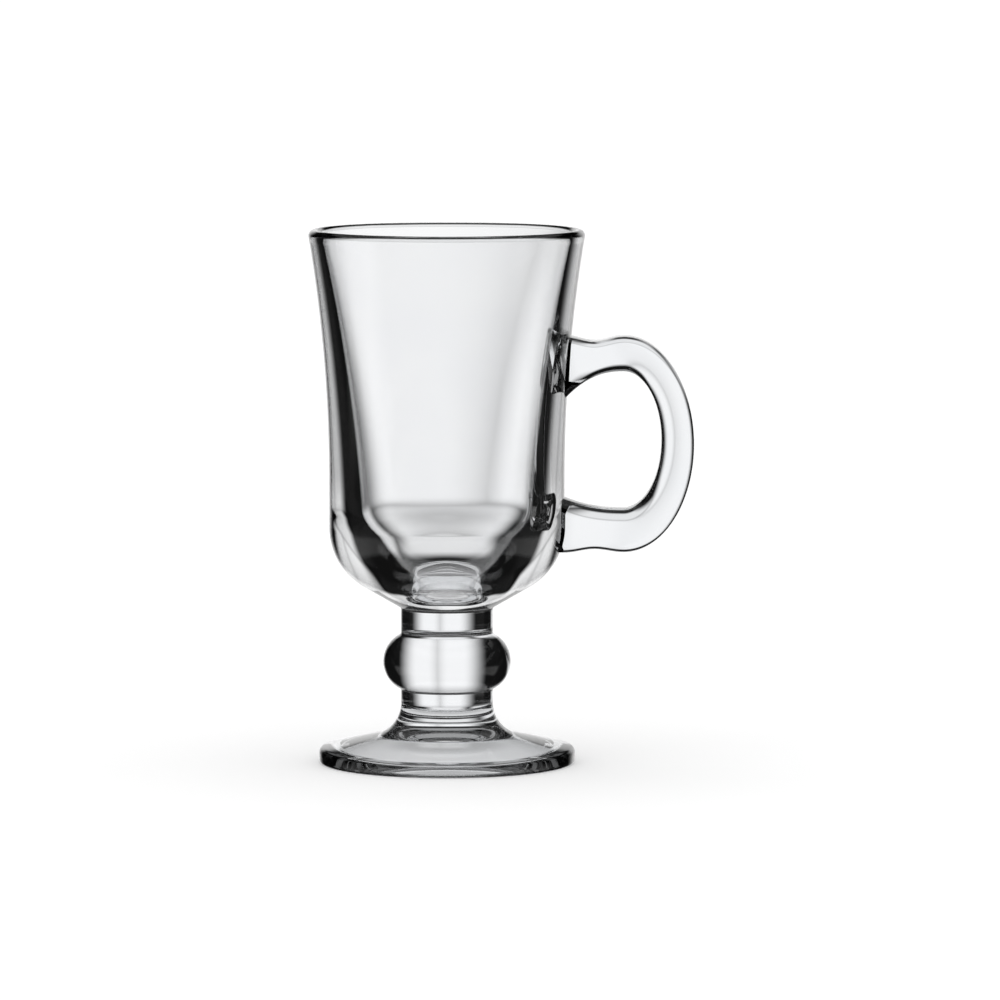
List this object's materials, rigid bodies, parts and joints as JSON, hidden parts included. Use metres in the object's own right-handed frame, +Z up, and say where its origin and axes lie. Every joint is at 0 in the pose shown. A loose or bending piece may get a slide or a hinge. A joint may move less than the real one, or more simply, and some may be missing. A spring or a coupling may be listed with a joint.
{
  "type": "footed coffee glass",
  "caption": "Clear pressed-glass footed mug for hot coffee drinks: flared bowl with a side loop handle on a short knopped stem and a round foot.",
  "frame": {"origin": "middle of the plane that the foot stands on, on the axis of the glass", "axes": "+Z up along the axis of the glass, +X towards the handle, +Y across the glass, away from the viewer in the picture"},
  "size_m": [0.1079, 0.0774, 0.15],
  "materials": {
    "bowl_glass": "fire polished",
    "handle_glass": "fire polished",
    "stem_glass": "fire polished",
    "foot_glass": "fire polished"
  },
  "bodies": {
    "root": {"bowl": "bowl_glass", "handle": "handle_glass", "stem": "stem_glass", "foot": "foot_glass"}
  },
  "joints": []
}
